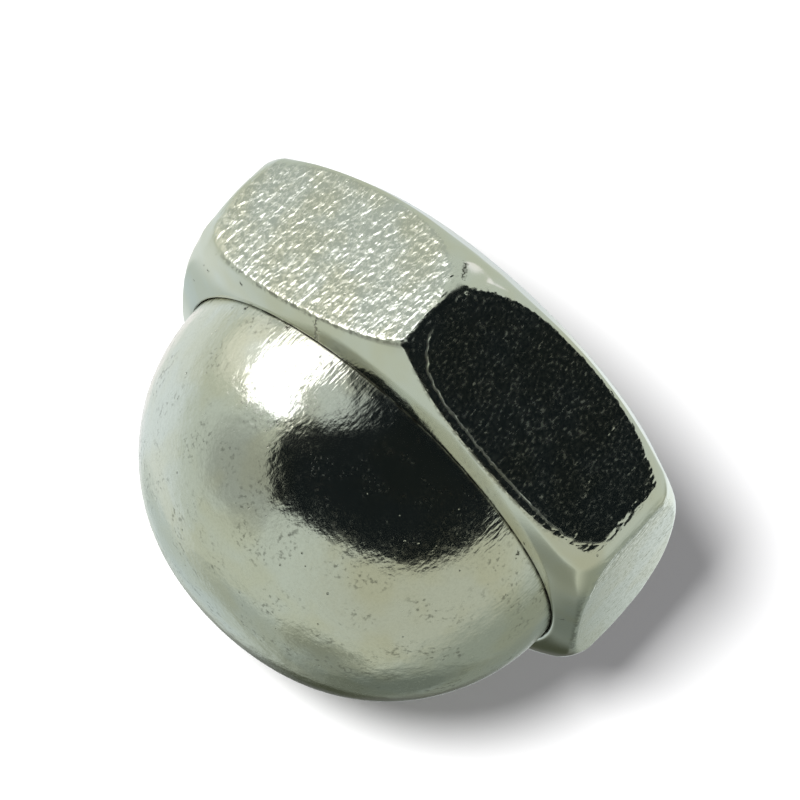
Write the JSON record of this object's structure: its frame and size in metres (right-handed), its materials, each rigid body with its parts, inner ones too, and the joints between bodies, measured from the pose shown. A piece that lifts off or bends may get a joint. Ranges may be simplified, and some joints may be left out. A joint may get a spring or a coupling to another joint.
{
  "type": "cap nut",
  "caption": "Closed-end domed cap nut: a short threaded hexagon body with a smooth drawn dome seated in its rim.",
  "frame": {"origin": "centre of the bearing face", "axes": "+Z along the thread axis from the open bearing face to the dome; two flats of the hexagon face -Y and +Y, two corners point along -X and +X"},
  "size_m": [0.0148, 0.013, 0.0096],
  "materials": {
    "body_nickel": "cold-formed steel, barrel nickel plated: smooth chamfers, flats with fine streaks along the axis",
    "cap_nickel": "drawn steel sheet, barrel nickel plated: semi-bright with fine pits and faint draw lines near the rim"
  },
  "bodies": {
    "root": {"hex_body": "body_nickel", "dome_cap": "cap_nickel"}
  },
  "joints": []
}
